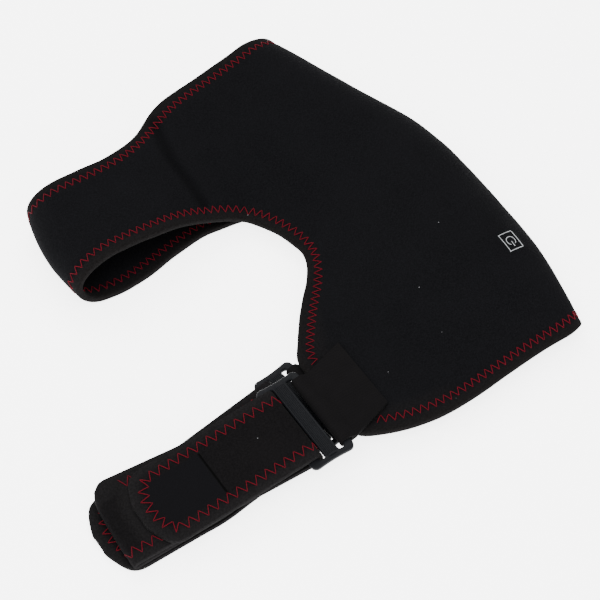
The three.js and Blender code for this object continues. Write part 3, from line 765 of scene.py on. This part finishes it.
class WRAP_OT_buckles(bpy.types.Operator):
    """Moulded slide buckles, each with a ribbed middle bar"""
    bl_idname = "wrap.buckles"
    bl_label = "Buckles"

    def execute(self, context):
        hardware = context.scene.wrap_hardware
        plastic = plastic_finish("buckle_plastic", tuple(hardware.plastic_colour))
        for node, (centre, tilt, turn) in BUCKLE_PLACES.items():
            bm = bmesh.new()
            bm.from_mesh(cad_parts[node].data)
            bmesh.ops.remove_doubles(bm, verts=bm.verts, dist=MERGE_DISTANCE)
            bmesh.ops.dissolve_limit(bm, angle_limit=math.radians(1), verts=bm.verts, edges=bm.edges)
            bm.normal_update()
            sharp = [e for e in bm.edges if e.is_manifold and e.calc_face_angle() > math.radians(35)]
            bmesh.ops.bevel(
                bm, geom=sharp, offset=hardware.edge_round, offset_type="OFFSET", segments=2, profile=0.5,
                affect="EDGES", material=-1, clamp_overlap=True)
            frame_piece = finished(bm, node + "_frame", plastic, sharp=32)
            ride(frame_piece, "buckle_plastic", node)
            place = (
                Matrix.Translation(centre) @ Matrix.Rotation(turn, 4, "Z") @ Matrix.Rotation(tilt, 4, "Y"))
            ride(self.ribbed_bar(node + "_bar", place, hardware, plastic), "buckle_plastic")
        return {"FINISHED"}

    def ribbed_bar(self, name, place, hardware, plastic):
        bm = bmesh.new()
        lay = Matrix.Rotation(math.radians(90), 4, "X")
        half = hardware.bar_width / 2
        bmesh.ops.create_cone(
            bm, cap_ends=True, segments=36, radius1=1, radius2=1, depth=hardware.bar_length,
            matrix=Matrix.Diagonal((half, 1, hardware.bar_rise, 1)) @ lay)
        for side in (1, -1):
            for i in range(hardware.rib_count):
                x = half * 0.86 * (2 * i / (hardware.rib_count - 1) - 1)
                z = side * hardware.bar_rise * math.sqrt(1 - (x / half) ** 2)
                bmesh.ops.create_cone(
                    bm, cap_ends=True, segments=8, radius1=hardware.rib_radius, radius2=hardware.rib_radius,
                    depth=hardware.bar_length - 3 * MM, matrix=Matrix.Translation((x, 0, z)) @ lay)
        shift = Matrix.Translation((hardware.bar_place, 0, 0))
        bmesh.ops.transform(bm, matrix=place @ shift, verts=bm.verts)
        bmesh.ops.recalc_face_normals(bm, faces=bm.faces)
        return finished(bm, name, plastic, sharp=40)


class WRAP_OT_power_button(bpy.types.Operator):
    """Raised soft square over the switch, with its printed sign"""
    bl_idname = "wrap.power_button"
    bl_label = "Power button"

    def execute(self, context):
        shell, button = context.scene.wrap_shell, context.scene.wrap_button
        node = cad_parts["power_button"]
        centre, across, along, up = self.seat(node)
        cloth_tree = surface_tree(bpy.data.objects["neoprene_shell"])

        def on_cloth(x, y, rise):
            start = centre + across * x + along * y + up * 6 * MM
            place, normal, _, _ = cloth_tree.ray_cast(start, -up)
            if place is None:
                raise RuntimeError("the button misses the cloth")
            return place + normal * rise

        half = button.side / 2

        def swell(x, y):
            reach = (abs(x / half) ** 4 + abs(y / half) ** 4) ** 0.25
            edge = min(1.0, max(0.0, (1 - reach) / 0.3))
            return -0.35 * MM + button.rise * edge * edge * (3 - 2 * edge)

        bm = bmesh.new()
        bmesh.ops.create_grid(bm, x_segments=36, y_segments=36, size=half)
        for v in bm.verts:
            v.co = on_cloth(v.co.x, v.co.y, swell(v.co.x, v.co.y))
        bmesh.ops.recalc_face_normals(bm, faces=bm.faces)
        bm.normal_update()
        if sum((face.normal for face in bm.faces), Vector()).dot(up) < 0:
            bmesh.ops.reverse_faces(bm, faces=bm.faces)
        bmesh.ops.solidify(bm, geom=bm.faces, thickness=1 * MM)
        cloth = knit_finish(
            "button_cloth", tuple(shell.cloth_colour), tuple(shell.edge_colour), 1000.0, 0.16 * MM)
        pad = finished(bm, "button_pad", cloth)
        ride(pad, "button_cloth", "power_button")

        ink = print_finish("printed_sign", tuple(button.print_colour))
        sign = bmesh.new()
        self.square_line(sign, button)
        self.ring_line(sign, button)
        self.bar_line(sign, button)
        for v in sign.verts:
            x, y = v.co.x, v.co.y
            v.co = on_cloth(x, y, swell(x, y) + 0.05 * MM)
        bmesh.ops.recalc_face_normals(sign, faces=sign.faces)
        for face in sign.faces:
            if face.normal.dot(up) < 0:
                face.normal_flip()
        bmesh.ops.solidify(sign, geom=sign.faces, thickness=-0.12 * MM)
        ride(finished(sign, "button_sign", ink), "button_cloth")
        return {"FINISHED"}

    def seat(self, node):
        """Centre and axes of the pad, from the widest flat face of its solid."""
        bm = bmesh.new()
        bm.from_mesh(node.data)
        bmesh.ops.remove_doubles(bm, verts=bm.verts, dist=MERGE_DISTANCE)
        bmesh.ops.dissolve_limit(bm, angle_limit=math.radians(1), verts=bm.verts, edges=bm.edges)
        top = max((f for f in bm.faces if f.normal.z > 0), key=lambda f: f.calc_area())
        up = top.normal.copy()
        centre = sum((v.co for v in top.verts), Vector()) / len(top.verts)
        longest = max(top.edges, key=lambda e: e.calc_length())
        along = (longest.verts[1].co - longest.verts[0].co).normalized()
        bm.free()
        across = up.cross(along)
        along = min((along, -along, across, -across), key=lambda direction: direction.y)
        return centre, along.cross(up).normalized(), along, up

    def square_line(self, sign, button):
        bm = bmesh.new()
        bmesh.ops.create_grid(bm, x_segments=1, y_segments=1, size=0.5)
        bmesh.ops.scale(bm, vec=(button.frame_width, button.frame_length, 1), verts=bm.verts)
        rim = bmesh.ops.inset_region(
            bm, faces=bm.faces[:], thickness=button.line, use_boundary=True, use_even_offset=True)["faces"]
        bmesh.ops.delete(bm, geom=[f for f in bm.faces if f not in rim], context="FACES")
        long = [e for e in bm.edges if e.calc_length() > 5 * MM]
        bmesh.ops.subdivide_edges(bm, edges=long, cuts=12, use_grid_fill=True)
        self.append(sign, bm)

    def ring_line(self, sign, button):
        bm = bmesh.new()
        half = button.line / 2
        ends = [bm.verts.new((button.ring_radius + step, 0, 0)) for step in (-half, half)]
        edge = bm.edges.new(ends)
        opening = math.radians(64)
        start = Matrix.Rotation(math.radians(90) + opening / 2, 3, "Z")
        bmesh.ops.rotate(bm, verts=bm.verts, cent=CENTRE, matrix=start)
        bmesh.ops.spin(
            bm, geom=[*ends, edge], cent=CENTRE, axis=(0, 0, 1), angle=math.tau - opening, steps=36)
        self.append(sign, bm)

    def bar_line(self, sign, button):
        bm = bmesh.new()
        bmesh.ops.create_grid(bm, x_segments=1, y_segments=6, size=1)
        bmesh.ops.scale(bm, vec=(button.line / 2, 1.9 * MM, 1), verts=bm.verts)
        bmesh.ops.translate(bm, vec=(0, 2.3 * MM, 0), verts=bm.verts)
        self.append(sign, bm)

    def append(self, sign, bm):
        mesh = bpy.data.meshes.new("line")
        bm.to_mesh(mesh)
        bm.free()
        sign.from_mesh(mesh)
        bpy.data.meshes.remove(mesh)


class WRAP_OT_stage(bpy.types.Operator):
    """Pale floor, soft light and camera"""
    bl_idname = "wrap.stage"
    bl_label = "Stage"

    def execute(self, context):
        stage = context.scene.wrap_stage
        bm = bmesh.new()
        bmesh.ops.create_grid(bm, x_segments=1, y_segments=1, size=6)
        bmesh.ops.translate(bm, vec=(0, 0, -0.5 * MM), verts=bm.verts)
        floor = Finish("pale_floor", roughness=0.9, specular=0.1)
        floor.shader.inputs["Base Color"].default_value = (0.93, 0.93, 0.93, 1)
        floor.shader.inputs["Emission Color"].default_value = (1, 1, 1, 1)
        floor.shader.inputs["Emission Strength"].default_value = stage.table_glow
        finished(bm, "floor", floor.material)
        world = bpy.data.worlds.new("studio")
        world.use_nodes = True
        background = world.node_tree.nodes["Background"]
        background.inputs["Color"].default_value = (1, 1, 1, 1)
        background.inputs["Strength"].default_value = stage.light
        context.scene.world = world
        aim = Vector(stage.aim)
        for name, azimuth, elevation, size, power in (
                ("key", -70, 60, 1.2, 30), ("back", 150, 45, 1.4, 26), ("side", -14, 12, 1.0, 15)):
            lamp = bpy.data.lights.new(name, "AREA")
            lamp.size = size
            lamp.energy = power
            light = bpy.data.objects.new(name, lamp)
            self.look(light, aim, math.radians(azimuth), math.radians(elevation), 1.8)
        camera = bpy.data.objects.new("camera", bpy.data.cameras.new("camera"))
        camera.data.lens = stage.lens
        camera.data.clip_end = 20
        self.look(camera, aim, stage.azimuth, stage.elevation, stage.distance)
        context.scene.camera = camera
        return {"FINISHED"}

    def look(self, thing, aim, azimuth, elevation, distance):
        """Places a thing round the aim and points it there; azimuth 0 looks along +Y."""
        away = Vector((
            math.sin(azimuth) * math.cos(elevation), -math.cos(azimuth) * math.cos(elevation),
            math.sin(elevation)))
        thing.location = aim + away * distance
        thing.rotation_euler = away.to_track_quat("Z", "Y").to_euler()
        bpy.context.scene.collection.objects.link(thing)


OPERATORS = (
    WRAP_OT_shell, WRAP_OT_strap, WRAP_OT_webbing_tabs, WRAP_OT_buckles, WRAP_OT_power_button,
    WRAP_OT_stage)


class WRAP_PT_pieces(bpy.types.Panel):
    """Lists the wrap's pieces"""
    bl_idname = "WRAP_PT_pieces"
    bl_label = "Heated joint wrap"
    bl_space_type = "VIEW_3D"
    bl_region_type = "UI"
    bl_category = "Joint wrap"

    def draw(self, context):
        for operator in OPERATORS:
            self.layout.operator(operator.bl_idname)


def register():
    for group in GROUPS.values():
        bpy.utils.register_class(group)
    for name, group in GROUPS.items():
        setattr(bpy.types.Scene, name, PointerProperty(type=group))
    for operator in OPERATORS:
        bpy.utils.register_class(operator)
    bpy.utils.register_class(WRAP_PT_pieces)


def unregister():
    bpy.utils.unregister_class(WRAP_PT_pieces)
    for operator in reversed(OPERATORS):
        bpy.utils.unregister_class(operator)
    for name in GROUPS:
        delattr(bpy.types.Scene, name)
    for group in reversed(GROUPS.values()):
        bpy.utils.unregister_class(group)


def main():
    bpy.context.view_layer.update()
    register()
    bpy.ops.wrap.shell()
    bpy.ops.wrap.strap()
    bpy.ops.wrap.webbing_tabs()
    bpy.ops.wrap.buckles()
    bpy.ops.wrap.power_button()
    bpy.ops.wrap.stage()


if __name__ == "__main__":
    main()
